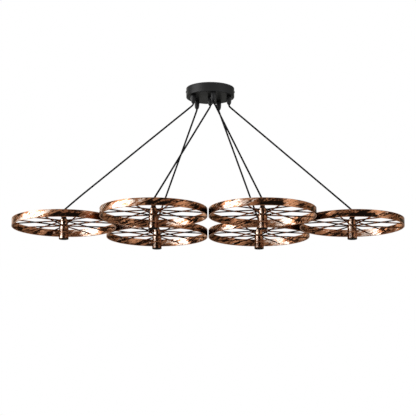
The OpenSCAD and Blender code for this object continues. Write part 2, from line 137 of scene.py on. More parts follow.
# Each screw: the radius and height of its head, the radius and length of its shank, and its pitch.
SIDE_SCREW = (3.8, SCREW_HEAD_H, SCREW_R, 7.7, 0.7)
EARTH_SCREW = (3.8, 2.0, SCREW_R, 2.0, 0.7)
FIXING_SCREW = (3.0, 1.5, 1.5, 12.4, 0.5)
CLAMP_SCREW = (1.7, 0.8, 1.3, 2.0, 0.5)
TAIL_TOP = -17.0
TAIL_LIFT = 0.8
BAR_T = 2.0
BAR_BEND = 3.0
BAR_HOLE_X = 44.45
BAR_HOLE_R = 2.6
EARTH_X = 22.0
BLOCK_X = -22.0
BLOCK_LOW = -14.0
CLAMP_SPOTS = [(BLOCK_X - 9, y) for y in (-4.6, 4.6)] + [(BLOCK_X + 9, y) for y in (-5.0, 0.0, 5.0)]
CLAMP_HOLE_R = 2.0
NOTCH_R = 1.3
BAR_SLOT_X = 62
BAR_CORNER = 4.0
CORE_R = 1.6
CORE_BEND = 5.0
CORE_LEVEL = -9.0
CORE_ENDS = [(-31.0, -8.05), (-7.95, 0.0), (-31.0, 8.05), (-13.0, -8.05), (-13.0, 8.05), (-7.95, -5.33)]
CORE_WAYS = [(0, 1), (-1, 0), (0, -1), (0, 1), (0, -1), (-1, 0)]

# Wheels: heights from the wheel's middle plane ---
RIM_T = 3.0
RIM_EDGE = 0.6        # radius of the band's rounded edges
RIM_STEPS = 420       # points once round it
DENTS = 16            # waves of its uneven hammered face
DENT_DEPTH = 0.22
SPOKES = 16
SPOKE_R = 2.0
SPOKE_SIDES = 12
SPOKE_IN_FLANGE = 0.5
SPOKE_IN_RIM = 0.4
SPOKE_GRAIN = 0.04    # how uneven a rod's radius is
WELD_T = 0.45         # what the weld adds to that radius, at least
WELD_MORE = 0.15      # what it adds on top, at most
WELD_REACH = 1.9
HUB_R = 12.0
HUB_BORE_R = 9.05
FLANGE_R = 14.5
FLANGE_T = 4.0
HUB_UP = 11.0
HUB_DOWN = 9.0
HUB_BOSS = 0.8
UPPER_FLANGE = HUB_UP - HUB_BOSS - FLANGE_T / 2
LOWER_FLANGE = -HUB_DOWN + FLANGE_T / 2

# Lampholder: heights from the wheel's middle plane ---
CAP_TOP = 37.0
CAP_TOP_R = 5.5
CAP_NECK_R = 7.0
CAP_SLOPE = 3.0
CAP_FOOT_R = 12.0
CAP_FOOT = 11.3
CAP_FOOT_T = 1.0
CAP_FLARE = 9.0
SPIGOT_R = 5.5
SPIGOT_TOP = 17.3
BARREL_R = 9.0
BORE_R = 4.0
SHOULDER = -9.1
SHELL_R = 14.3
SHELL_INNER_R = 12.5
GROOVE_R = 13.5
GROOVE_TOP = -28.1
GROOVE_LOW = -29.6
COLLAR_R = 14.9
COLLAR_END = -49.1
INSERT_R = 12.45
INSERT_TOP = -11.15
INSERT_END = -46.1
SOCKET_R = 7.0
SOCKET_WALL = 0.45
SOCKET_LOW = -45.1
SOCKET_TOP = -23.1
THREAD_PITCH = 2.82
CONTACT_R = 3.2
CONTACT_LOW = -22.1
CONTACT_T = 1.2
RIVET_R = 1.5
CORNER_REACH = 0.5    # how far the rub on a rounded corner reaches
AXIS_R = 0.02         # how far a solid turned outline stays off its axis


# Forms -------------------------------------------
def rounded(corners, bits):
    """The closed outline through (across, up, radius) corners, each turned into an arc of that radius."""
    points = []
    count = len(corners)
    for i, (x, z, radius) in enumerate(corners):
        here = np.array((x, z), float)
        before = np.array(corners[i - 1][:2], float) - here
        after = np.array(corners[(i + 1) % count][:2], float) - here
        if radius <= 0:
            points.append(here)
            continue
        reach_in, reach_out = np.linalg.norm(before), np.linalg.norm(after)
        cut = min(radius, 0.45 * reach_in, 0.45 * reach_out)
        start, end = here + before / reach_in * cut, here + after / reach_out * cut
        for k in range(bits + 1):
            t = k / bits
            points.append((1 - t) ** 2 * start + 2 * t * (1 - t) * here + t * t * end)
    return np.array(points)


def refined(outline, longest):
    """The same closed outline with its long sides split into pieces no longer than longest."""
    points = []
    for here, there in zip(outline, np.roll(outline, -1, axis=0)):
        pieces = max(1, math.ceil(np.linalg.norm(there - here) / longest))
        points += [here + (there - here) * k / pieces for k in range(pieces)]
    return np.array(points)


def full_turn(steps):
    """Evenly spaced angles, once round."""
    return np.arange(steps) * 2 * math.pi / steps


def ring_faces(rings, count, closed):
    """Four-sided faces between successive rings of count points; closed joins the last to the first."""
    faces = []
    for i in range(rings if closed else rings - 1):
        low, high = i * count, (i + 1) % rings * count
        for j in range(count):
            k = (j + 1) % count
            faces.append((low + j, high + j, high + k, low + k))
    return faces


def bar_faces(rings, count):
    """The faces of a bar of successive rings of count points, with one over each end."""
    last = (rings - 1) * count
    ends = [tuple(range(count)), tuple(last + k for k in reversed(range(count)))]
    return ring_faces(rings, count, False) + ends


def turned(corners, longest, steps, bits=3):
    """The outline through (radius, height, corner radius) corners, spun round the Z axis."""
    outline = refined(rounded(corners, bits), longest)
    angles = full_turn(steps)
    points = np.stack([
        np.outer(np.sin(angles), outline[:, 0]),
        -np.outer(np.cos(angles), outline[:, 0]),
        np.tile(outline[:, 1], (steps, 1)),
    ], axis=-1).reshape(-1, 3)
    return points, ring_faces(steps, len(outline), True)


def ways_along(line):
    """The direction of a line at each of its points."""
    ways = np.gradient(line, axis=0)
    return ways / np.linalg.norm(ways, axis=1)[:, None]


def swept(line, radii, sides):
    """A round bar along a line, with a radius at each of its points, closed at both ends."""
    line = np.asarray(line, float)
    radii = np.broadcast_to(np.asarray(radii, float), len(line))
    ways = ways_along(line)
    side = np.cross(ways[0], (0.0, 1.0, 0.0) if abs(ways[0][1]) < 0.9 else (1.0, 0.0, 0.0))
    angles = full_turn(sides)
    points = []
    for place, way, radius in zip(line, ways, radii):
        side = side - way * (side @ way)
        side /= np.linalg.norm(side)
        up = np.cross(way, side)
        points.append(place + radius * (np.outer(np.cos(angles), side) + np.outer(np.sin(angles), up)))
    return np.concatenate(points), bar_faces(len(line), sides)


def threaded(core_r, outer_r, low, high, pitch, steps, inner_r=0.0):
    """A screw thread round the Z axis; inner_r above 0 makes it a pressed thread in a thin tube."""
    rows = math.ceil((high - low) / pitch * 8) + 1
    heights = np.linspace(low, high, rows)
    angles = full_turn(steps)
    turn = heights[:, None] / pitch - angles[None, :] / (2 * math.pi)
    crest = 0.5 + 0.5 * np.cos(2 * math.pi * turn)
    ends = np.clip(np.minimum(heights - low, high - heights) / (0.5 * pitch), 0, 1)[:, None]
    radius = core_r + (outer_r - core_r) * crest * ends

    def wall(r):
        return np.stack([
            r * np.sin(angles), -r * np.cos(angles), np.broadcast_to(heights[:, None], r.shape)
        ], axis=-1).reshape(-1, 3)

    if inner_r <= 0:
        return wall(radius), bar_faces(rows, steps)
    faces = ring_faces(rows, steps, False)
    shift = rows * steps
    inner = wall(radius - (core_r - inner_r))
    faces += [tuple(shift + k for k in reversed(face)) for face in faces]
    for row in (0, rows - 1):
        base = row * steps
        for k in range(steps):
            n = (k + 1) % steps
            rim = (base + k, base + n, shift + base + n, shift + base + k)
            faces.append(rim if row == 0 else rim[::-1])
    return np.concatenate([wall(radius), inner]), faces


def hexagon(flats, height, bore_r, chamfer, steps=72):
    """A hexagon nut standing on z = 0, with its corners chamfered above and below."""
    angles = full_turn(steps)
    off_flat = (angles + math.pi / 6) % (math.pi / 3) - math.pi / 6
    hexagonal = flats / 2 / np.cos(off_flat)
    round_r = flats / 2 + 0.1 * chamfer
    face, bore = np.minimum(hexagonal, round_r), np.full(steps, bore_r)
    rows = [
        (bore + chamfer / 2, 0.0), (face, 0.0), (hexagonal, chamfer), (hexagonal, height - chamfer),
        (face, height), (bore + chamfer / 2, height), (bore, height - chamfer / 2), (bore, chamfer / 2),
    ]
    points = np.array([
        [(r[k] * math.sin(a), -r[k] * math.cos(a), z) for r, z in rows] for k, a in enumerate(angles)
    ]).reshape(-1, 3)
    return points, ring_faces(steps, len(rows), True)


def slab(low, high, bevel, bits=2):
    """A box between two corners with rounded edges."""
    work = bmesh.new()
    bmesh.ops.create_cube(work, size=1.0)
    low, high = np.array(low, float), np.array(high, float)
    for corner in work.verts:
        corner.co = Vector(low + (np.array(corner.co) + 0.5) * (high - low))
    bmesh.ops.bevel(work, geom=list(work.edges), offset=bevel, segments=bits, affect="EDGES", profile=0.5)
    points = np.array([tuple(v.co) for v in work.verts])
    faces = [tuple(v.index for v in face.verts) for face in work.faces]
    work.free()
    return points, faces


def ripples(across, along, rng, waves, finest):
    """A smooth uneven field from 0 to 1 over two arrays of coordinates, periodic in the first (radians)."""
    field = np.zeros(np.broadcast(across, along).shape)
    for _ in range(waves):
        turns = rng.integers(3, 60)
        field = field + np.sin(turns * across + rng.uniform(0.2, 1.0) * finest * along + rng.uniform(0, 7))
    return np.clip(0.5 + field / (2.2 * math.sqrt(waves)), 0, 1)


def gathered(*forms):
    """Several (points, faces) forms as one."""
    points, faces, shift = [], [], 0
    for form_points, form_faces in forms:
        points.append(np.asarray(form_points, float))
        faces += [tuple(shift + k for k in face) for face in form_faces]
        shift += len(form_points)
    return np.concatenate(points), faces


def moved(form, place):
    """A form shifted by place."""
    return np.asarray(form[0]) + np.asarray(place, float), form[1]


def laid(form, side):
    """A form that points up, laid on its side to point along +X or -X."""
    x, y, z = np.asarray(form[0]).T
    return np.stack([side * z, y, x], axis=-1), form[1]


def upended(form):
    """A form that points up, turned over to point down."""
    return np.asarray(form[0]) * (1, -1, -1), form[1]


def bent_strip(line, half_widths, half_t, bevel):
    """A strip of sheet metal along a line of (x, z) points, with eased edges, closed at both ends."""
    line = np.asarray(line, float)
    ways = ways_along(line)
    points = []
    for (x, z), (way_x, way_z), width in zip(line, ways, half_widths):
        low, high = half_t - bevel, width - bevel
        section = [(low, width), (half_t, high), (half_t, -high), (low, -width),
                   (-low, -width), (-half_t, -high), (-half_t, high), (-low, width)]
        points += [(x - way_z * u, v, z + way_x * u) for u, v in section]
    return np.array(points), bar_faces(len(line), 8)


def made_mesh(name, form, sharp_deg=40, **paints):
    """A smooth-shaded mesh of a form. Each paint is an array with one number for each point."""
    points, faces = form
    mesh = bpy.data.meshes.new(name)
    mesh.from_pydata(np.asarray(points).tolist(), [], faces)
    mesh.validate()
    for label, values in paints.items():
        layer = mesh.attributes.new(label, "FLOAT", "POINT")
        layer.data.foreach_set("value", np.broadcast_to(values, len(mesh.vertices)).astype(np.float32))
    work = bmesh.new()
    work.from_mesh(mesh)
    bmesh.ops.recalc_face_normals(work, faces=list(work.faces))
    work.to_mesh(mesh)
    work.free()
    mesh.shade_smooth()
    mesh.set_sharp_from_angle(angle=math.radians(sharp_deg))
    return mesh


def new_object(name, data):
    """An object of that data, in the scene."""
    made = bpy.data.objects.new(name, data)
    bpy.context.scene.collection.objects.link(made)
    return made


def drilled(form, cutters):
    """A form with each cutter form taken out of it."""
    body = new_object("drilled", made_mesh("drilled", form))
    spent = [body]
    for k, cutter in enumerate(cutters):
        tool = new_object(f"cutter_{k}", made_mesh(f"cutter_{k}", cutter))
        bite = body.modifiers.new("hole", "BOOLEAN")
        bite.operation = "DIFFERENCE"
        bite.solver = "EXACT"
        bite.object = tool
        spent.append(tool)
    bpy.context.view_layer.update()
    result = bpy.data.meshes.new_from_object(body.evaluated_get(bpy.context.evaluated_depsgraph_get()))
    points = np.array([tuple(point.co) for point in result.vertices])
    faces = [tuple(face.vertices) for face in result.polygons]
    for done in spent:
        mesh = done.data
        bpy.data.objects.remove(done)
        bpy.data.meshes.remove(mesh)
    bpy.data.meshes.remove(result)
    return points, faces


def bar_along(start, end, radius):
    """A plain round cutter between two points."""
    return swept([start, end], radius, 24)


def upright(x, y, low, high, radius):
    """A plain round cutter that stands upright."""
    return bar_along((x, y, low), (x, y, high), radius)


def fitted(name, form, finish, slot, body, node, place=(0.0, 0.0, 0.0), sharp_deg=40, unit=MM, **paints):
    """A finished piece from its form: in its place, with its material, on its body, for its CAD node."""
    mesh = made_mesh(name, (form[0] * unit, form[1]), sharp_deg, **paints)
    piece = new_object(name, mesh)
    piece.location = place
    mesh.materials.append(finish)
    if body:
        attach(piece, body)
    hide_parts(node)
    return piece


def round_size(node):
    """The radius and height of a round CAD node, in millimetres, and its centre in metres."""
    low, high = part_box(node)
    return (high.x - low.x) / 2 / MM, (high.z - low.z) / MM, (low + high) / 2


# Shader nodes ------------------------------------
def put(kind, inputs=None, tree=None, **settings):
    """A new node with its settings and with its inputs wired or set, in the tree that they come from."""
    inputs = inputs or {}
    if not tree:
        tree = next(value.id_data for value in inputs.values() if isinstance(value, bpy.types.NodeSocket))
    node = tree.nodes.new(kind)
    for key, value in settings.items():
        setattr(node, key, value)
    for key, value in inputs.items():
        if isinstance(value, bpy.types.NodeSocket):
            tree.links.new(value, node.inputs[key])
        else:
            node.inputs[key].default_value = value
    return node


def calc(operation, a, b):
    return put("ShaderNodeMath", {0: a, 1: b}, operation=operation).outputs[0]


def times(a, b):
    return calc("MULTIPLY", a, b)


def plus(a, b):
    return calc("ADD", a, b)


def smooth_step(value, low, high, floor=0.0, top=1.0):
    return put(
        "ShaderNodeMapRange",
        {"Value": value, "From Min": low, "From Max": high, "To Min": floor, "To Max": top},
        interpolation_type="SMOOTHSTEP",
    ).outputs["Result"]


def mixed(factor, a, b):
    return put("ShaderNodeMix", {0: factor, 6: a, 7: b}, data_type="RGBA").outputs[2]


def noise(vector, scale, detail=3.0, roughness=0.55, distortion=0.0, seed=0.0):
    return put(
        "ShaderNodeTexNoise",
        {"Vector": vector, "W": seed, "Scale": scale, "Detail": detail, "Roughness": roughness,
         "Distortion": distortion},
        noise_dimensions="4D",
    ).outputs["Fac"]


def stretched(vector, factors):
    return put("ShaderNodeVectorMath", {0: vector, 1: factors}, operation="MULTIPLY").outputs[0]


def paint(where, label):
    return put("ShaderNodeAttribute", tree=where.id_data, attribute_name=label).outputs["Fac"]


def grouped(label, build, outputs, **inputs):
    """A node group that build wires. Its inputs have a number to start from, or None for a vector."""
    tree = bpy.data.node_groups.new(label, "ShaderNodeTree")
    for name, default in inputs.items():
        kind = "NodeSocketVector" if default is None else "NodeSocketFloat"
        socket = tree.interface.new_socket(name, in_out="INPUT", socket_type=kind)
        if default is not None:
            socket.default_value = default
    for name in outputs:
        tree.interface.new_socket(name, in_out="OUTPUT", socket_type="NodeSocketFloat")
    source = tree.nodes.new("NodeGroupInput")
    sink = tree.nodes.new("NodeGroupOutput")
    for name, socket in build(source.outputs).items():
        tree.links.new(socket, sink.inputs[name])
    return tree


def use(group, **inputs):
    """The outputs of a node of that group, by name."""
    return put("ShaderNodeGroup", inputs, node_tree=group).outputs


def weighed(parts, start):
    """The start value plus each noise's distance from its middle, times its weight."""
    total = start
    for value, weight in parts:
        total = plus(total, times(calc("SUBTRACT", value, 0.5), weight))
    return total


def build_patina(given):
    """Dark and black patches and bright rubbed streaks, drawn out along one way of the piece.

    Place adds painted highlights below 0, and painted reflections and shade above it, where pieces set it.
    """
    seed, place = given["Seed"], given["Place"]
    broad = noise(given["Vector"], 34.0, 3.0, 0.6, 0.6, seed)
    streak = noise(given["Streaks"], 1.0, 4.0, 0.62, 0.9, plus(seed, 11.0))
    speck = noise(given["Vector"], 190.0, 3.0, 0.6, 0.3, plus(seed, 23.0))
    rubbed = noise(given["Streaks"], 1.3, 4.0, 0.62, 0.9, plus(seed, 57.0))
    level = weighed(((broad, 2.8), (streak, 9.0), (speck, 3.5)), place)
    # Place below 0 gives bright copper: a painted highlight where pieces set it.
    shine = weighed(((rubbed, 9.0), (speck, -3.5)), times(place, -1.5))
    return {
        "Dark": smooth_step(level, 0.05, 0.5),
        "Black": smooth_step(level, 0.75, 1.15),
        "Bright": smooth_step(shine, 0.85, 1.5),
        "Relief": plus(streak, times(speck, 0.4)),
    }


def build_worn_edge(given):
    """Where a rubbed edge shows bare metal: the painted rub, broken up by noise."""
    broken = noise(given["Vector"], 240.0, 4.0, 0.6, 0.0, given["Seed"])
    level = times(given["Rub"], plus(broken, 0.25))
    return {"Mask": smooth_step(level, 0.42, 0.62)}


def build_fine_grain(given):
    """The fine uneven skin of a coat or a moulding, as a height."""
    coarse = noise(given["Vector"], given["Scale"], 2.0, 0.5)
    fine = noise(given["Vector"], times(given["Scale"], 3.7), 2.0, 0.5)
    return {"Height": plus(coarse, times(fine, 0.35))}


def build_dust(given):
    """A thin film on what faces up."""
    normal = put("ShaderNodeNewGeometry", tree=given["Vector"].id_data).outputs["Normal"]
    up = put("ShaderNodeSeparateXYZ", {0: normal}).outputs["Z"]
    cloud = noise(given["Vector"], 60.0, 4.0, 0.6)
    level = times(smooth_step(up, 0.35, 1.0), smooth_step(cloud, 0.3, 0.75))
    return {"Film": times(level, given["Amount"])}


PATINA = grouped(
    "patina_patches", build_patina, ("Dark", "Black", "Bright", "Relief"),
    Vector=None, Streaks=None, Place=0.0, Seed=0.0)
WORN_EDGE = grouped("worn_edge", build_worn_edge, ("Mask",), Vector=None, Rub=0.0, Seed=0.0)
FINE_GRAIN = grouped("fine_grain", build_fine_grain, ("Height",), Vector=None, Scale=900.0)
DUST = grouped("dust_film", build_dust, ("Film",), Vector=None, Amount=0.2)


def new_finish(name, **values):
    """A material with one Principled shader, that shader, and the piece's own coordinates."""
    material = bpy.data.materials.new(name)
    material.use_nodes = True
    shader = material.node_tree.nodes["Principled BSDF"]
    for label, value in values.items():
        shader.inputs[label.replace("_", " ")].default_value = value
    where = put("ShaderNodeTexCoord", tree=material.node_tree).outputs["Object"]
    return material, shader, where


def wire(shader, **outputs):
    """Each output linked to the shader's input of that name."""
    for label, output in outputs.items():
        shader.id_data.links.new(output, shader.inputs[label.replace("_", " ")])


def bump(shader, height, strength, distance):
    node = put("ShaderNodeBump", {"Height": height, "Strength": strength, "Distance": distance})
    wire(shader, Normal=node.outputs["Normal"])


def skin(where, scale):
    return use(FINE_GRAIN, Vector=where, Scale=scale)["Height"]


def dusted(where, amount):
    return use(DUST, Vector=where, Amount=amount)["Film"]


# Finishes ----------------------------------------
WHITE = (1.0, 1.0, 1.0, 1.0)
COPPER = (0.3, 0.135, 0.066, 1.0)
COPPER_DARK = (0.034, 0.0135, 0.0065, 1.0)
COPPER_BLACK = (0.0065, 0.0042, 0.003, 1.0)
# Bright copper of rubbed streaks, also used for the painted highlights.
COPPER_BRIGHT = (0.6, 0.48, 0.4, 1.0)
COPPER_RED = (0.15, 0.052, 0.021, 1.0)
COPPER_RED_SHARE = 0.8
COPPER_GRAZED = (0.6, 0.55, 0.5, 1.0)
COPPER_FILM = (0.35, 0.3, 0.26, 1.0)
BLACK_FILM = (0.2, 0.19, 0.18, 1.0)
MOULDED_FILM = (0.3, 0.29, 0.27, 1.0)
PLATED_FILM = (0.3, 0.28, 0.25, 1.0)


def leaning(where, lean_deg, along, across):
    """Coordinates whose streaks run round a rim's band, leaning up to the right."""
    height = put("ShaderNodeSeparateXYZ", {0: where}).outputs["Z"]
    around = paint(where, "around")
    c, s = math.cos(math.radians(lean_deg)), math.sin(math.radians(lean_deg))
    run = plus(times(around, c * along), times(height, s * along))
    rise = plus(times(around, -s * across), times(height, c * across))
    return put("ShaderNodeCombineXYZ", {0: run, 1: rise}).outputs[0]


def aged_copper(name, streaks, roughness, base=COPPER, relief=0.3, lean=None, grazed=COPPER_GRAZED):
    """Copper, aged dark in patches and rubbed bright in streaks, with painted highlights and shade."""
    material, shader, where = new_finish(name, Specular_Tint=grazed)
    seed, place, rub = paint(where, "seed"), paint(where, "patina"), paint(where, "rub")
    lines = leaning(where, lean, streaks[0], streaks[2]) if lean else stretched(where, streaks)
    marks = use(PATINA, Vector=where, Streaks=lines, Place=place, Seed=seed)
    edge = use(WORN_EDGE, Vector=where, Rub=rub, Seed=seed)["Mask"]
    film = dusted(where, 0.12)
    cloud = noise(where, 18.0, 2.0, 0.5, 0.4, plus(seed, 41.0))
    colour = mixed(smooth_step(cloud, 0.42, 0.62, 0.0, COPPER_RED_SHARE), base, COPPER_RED)
    for share, over in (
        (marks["Bright"], COPPER_BRIGHT), (marks["Dark"], COPPER_DARK), (marks["Black"], COPPER_BLACK),
        (edge, COPPER), (film, COPPER_FILM),
    ):
        colour = mixed(share, colour, over)
    rough = plus(plus(roughness, times(marks["Dark"], 0.1)), times(film, 0.4))
    wire(shader, Base_Color=colour, Metallic=calc("SUBTRACT", 1.0, film), Roughness=rough)
    bump(shader, marks["Relief"], relief, 0.0005)
    return material


def satin_black():
    """Satin black metal of the canopy, with its fine skin, faint clouding and a little dust."""
    material, shader, where = new_finish("satin_black_coat", Specular_Tint=(0.5, 0.5, 0.49, 1.0))
    film = dusted(where, 0.1)
    cloud = noise(where, 25.0)
    colour = mixed(cloud, (0.018, 0.018, 0.0185, 1.0), (0.03, 0.03, 0.03, 1.0))
    wire(
        shader, Base_Color=mixed(film, colour, BLACK_FILM),
        Metallic=calc("SUBTRACT", 1.0, film), Roughness=smooth_step(cloud, 0.3, 0.7, 0.36, 0.43))
    bump(shader, skin(where, 900.0), 0.25, 0.0001)
    return material


def moulded(name, dark, light, roughness, grain_scale=1400.0, specular=0.2):
    """A moulded plastic or rubber part with a fine skin."""
    material, shader, where = new_finish(name, Specular_IOR_Level=specular)
    cloud = noise(where, 70.0)
    colour = mixed(dusted(where, 0.12), mixed(cloud, dark, light), MOULDED_FILM)
    rough = smooth_step(cloud, 0.25, 0.75, roughness - 0.05, roughness + 0.06)
    wire(shader, Base_Color=colour, Roughness=rough)
    bump(shader, skin(where, grain_scale), 0.3, 0.00008)
    return material


def plated(name, colour, tint, roughness):
    """Plated metal: fine drawn lines, faint clouding and a little dust."""
    material, shader, where = new_finish(name, Metallic=1.0)
    lines = noise(stretched(where, (60.0, 900.0, 900.0)), 1.0)
    shade = mixed(smooth_step(noise(where, 90.0), 0.35, 0.7), colour, tint)
    shade = mixed(dusted(where, 0.15), shade, PLATED_FILM)
    rough = smooth_step(lines, 0.3, 0.7, roughness - 0.06, roughness + 0.1)
    wire(shader, Base_Color=shade, Roughness=rough)
    bump(shader, lines, 0.2, 0.00005)
    return material


# Camera, light and floor -------------------------
WHEELS_MIDDLE = (-0.007, 0.0, -0.42)
WORLD_LIGHT = 0.55   # how strongly the white surroundings light the object
FLOOR_UP = -1.9
FLOOR_HALF = 8.0
FLOOR_GLOW = 0.36    # how much whiter the floor is to the camera than as light on the object
# Each softbox: its name, its place, its width and height, and its radiance.
SOFTBOXES = [
    ("left_softbox", (-2.36, -0.86, 0.25), 2.2, 1.1, 4.5),
    ("right_fill", (2.5, -1.6, -0.1), 1.4, 1.2, 1.5),
    ("back_softbox", (-1.5, 2.3, 0.5), 1.8, 0.9, 2.0),
]


def add_camera():
    data = bpy.data.cameras.new("camera")
    data.sensor_width = CAMERA_SENSOR
    data.lens = CAMERA_LENS
    data.clip_end = CAMERA_REACH
    camera = new_object("camera", data)
    camera.location = CAMERA_PLACE
    camera.rotation_euler = (math.radians(90.0 + CAMERA_UP_DEG), 0.0, 0.0)
    bpy.context.scene.camera = camera


def add_softbox(name, place, width, height, radiance):
    """A soft lamp panel, turned to the wheels, that reflects as a bright rectangle of that radiance."""
    data = bpy.data.lights.new(name, "AREA")
    data.shape = "RECTANGLE"
    data.size = width
    data.size_y = height
    data.energy = radiance * math.pi * width * height
    lamp = new_object(name, data)
    lamp.location = place
    lamp.rotation_euler = (Vector(WHEELS_MIDDLE) - Vector(place)).to_track_quat("-Z", "Y").to_euler()
    lamp.visible_camera = False


def seen_rays(tree):
    """1 for what the camera sees, straight or in reflections and glass, and 0 for light on the object."""
    rays = put("ShaderNodeLightPath", tree=tree).outputs
    seen = calc("MAXIMUM", rays["Is Camera Ray"], rays["Is Glossy Ray"])
    return calc("MAXIMUM", seen, rays["Is Transmission Ray"])


def add_world():
    """White to the camera and in reflections and glass, softer as light on the object."""
    world = bpy.data.worlds.new("studio")
    bpy.context.scene.world = world
    world.use_nodes = True
    tree = world.node_tree
    background = tree.nodes["Background"]
    background.inputs["Color"].default_value = WHITE
    wire(background, Strength=smooth_step(seen_rays(tree), 0.0, 1.0, WORLD_LIGHT, 1.0))


def add_floor():
    """A plain pale floor below the object, whiter to the camera than as light on the object."""
    mesh = bpy.data.meshes.new("floor")
    corners = [(-1, -1), (1, -1), (1, 1), (-1, 1)]
    mesh.from_pydata([(x * FLOOR_HALF, y * FLOOR_HALF, FLOOR_UP) for x, y in corners], [], [(0, 1, 2, 3)])
    material, shader, where = new_finish("pale_floor", Roughness=0.7, Emission_Color=WHITE)
    colour = mixed(noise(where, 3.0, 4.0), (0.80, 0.80, 0.795, 1.0), (0.84, 0.84, 0.835, 1.0))
    wire(shader, Base_Color=colour, Emission_Strength=times(seen_rays(shader.id_data), FLOOR_GLOW))
    mesh.materials.append(material)
    new_object("floor", mesh)


# Cords -------------------------------------------
def smooth_route(points):
    """One smooth curve through a route's points, straight down at both ends, closer set in its bends."""
    points = np.array(points, float)
    spans = np.linalg.norm(np.diff(points, axis=0), axis=1)
    slopes = np.zeros_like(points)
    slopes[1:-1] = (points[2:] - points[:-2]) / (spans[1:] + spans[:-1])[:, None]
    slopes[0] = slopes[-1] = (0.0, 0.0, -1.0)
    line = []
    for k, span in enumerate(spans):
        bent = k < BEND_STRETCHES or k >= len(spans) - BEND_STRETCHES
        steps = BEND_STEPS if bent else STRAIGHT_STEPS
        for t in np.arange(steps) / steps:
            start = (2 * t**3 - 3 * t**2 + 1) * points[k] + (t**3 - 2 * t**2 + t) * span * slopes[k]
            end = (3 * t**2 - 2 * t**3) * points[k + 1] + (t**3 - t**2) * span * slopes[k + 1]
            line.append(start + end)
    line.append(points[-1])
    return np.array(line)


def add_cord(pendant, finish):
    """The free stretch of one cord, from its grip's tip to its cap's mouth."""
    line = smooth_route(ROUTES[pendant])
    top, low = line[0] + (0, 0, TOP_REACH), line[-1] - (0, 0, LOW_REACH)
    form = swept(np.concatenate([[top], line, [low]]), CORD_D / 2, CORD_SIDES)
    piece = fitted(
        f"{pendant}_cord_sheath", form, finish, "cord_black", None, f"{pendant}_cord", sharp_deg=60, unit=1)
    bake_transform(piece)


add_camera()
cord_finish = moulded(
    "cord_sheath_black", (0.007, 0.007, 0.0076, 1.0), (0.011, 0.011, 0.0116, 1.0), 0.8, 2200.0, 0.05)
for pendant in PENDANTS:
    add_cord(pendant, cord_finish)


# Wheels ------------------------------------------
# Patches painted on a rim, most of them painted light: the rows below 0 are lighter copper where the
# left softbox and the white surroundings reflect (painted highlights), and the dark rows in front and
# beside the highlights are painted reflections and painted shade; the rest and the narrow strokes are
# aged marks. Each row gives the angles to the right at which it starts and ends, from the middle of
# the near side (outer face) or of the far side (inner face), its low and high edge as shares of half
# the band, how dark it is (below 0 it is lighter), how many degrees its ends lean to the right from
# the band's middle to its top, and over how many degrees they fade.
OUTER_PATCHES = [
    (-96, -50, -1.1, 1.1, -0.6, 6, 10), (-47, -24, -1.1, 1.1, -1.5, 6, 14), (-24, -9, -1.1, 1.1, -0.8, 3, 10),
    (-17, -4, -1.1, -0.1, 0.8, 0, 6), (-5, 21, -1.1, 0.1, 1.6, 0, 4), (-8, 24, 0.1, 1.1, 0.4, 0, 6),
    (39, 57, -1.1, 1.1, 0.45, 0, 5), (58, 90, -1.1, 0.1, 1.1, 0, 8), (-56, -16, 0.6, 1.1, 0.9, 0, 5),
]
OUTER_PATCHES += [(start, start + 2.8, -1.1, 1.1, 2.0, 9, 2) for start in (-90, -83, -77, -70, -63, -57)]
INNER_PATCHES = [
    (-95, -66, -1.1, 1.1, 0.4, 0, 6), (-64, -20, -1.1, 1.1, 0.2, 0, 6), (-16, -3, -1.1, 1.1, 0.35, 0, 6),
    (2, 13, -1.1, 0.2, 0.1, -5, 5), (12, 22, -1.1, 1.1, -0.8, -5, 10), (23, 38, -1.1, 1.1, -1.1, -3, 8),
    (41, 54, -1.1, 1.1, 0.8, 0, 4), (56, 92, -1.1, 1.1, -0.2, 0, 5),
]
PATCH_EDGE = 0.25   # the share of half the band over which the low and high edges of a patch fade
# Painted shade that dims the painted highlight on the outer face of each rim: where it lies, and how
# much each rim gets, from 0 to 1.
HIGHLIGHT_SHADE_PATCH = [(-54, -14, -1.1, 1.1, 1.75, 5, 6)]
HIGHLIGHT_SHADED = {
    "left": 0.05, "near_left": 0.12, "far_left": 0.25, "near_right": 0.15, "far_right": 0.35, "right": 1.0,
}


def patched(angle, height, patches):
    """The painted darkness at angles to the right of a patch table's zero, and heights from -1 to 1."""
    total = np.zeros(np.broadcast(angle, height).shape)
    for left, right, low, high, dark, lean, fade in patches:
        middle = math.radians(left + right) / 2 + math.radians(lean) * height
        half = math.radians(right - left) / 2
        off = np.abs((angle - middle + math.pi) % (2 * math.pi) - math.pi)
        beside = np.clip((half - off) / math.radians(fade) + 0.5, 0, 1)
        above = np.clip((height - low) / PATCH_EDGE + 0.5, 0, 1)
        total = total + dark * beside * (above * np.clip((high - height) / PATCH_EDGE + 0.5, 0, 1))
    return total


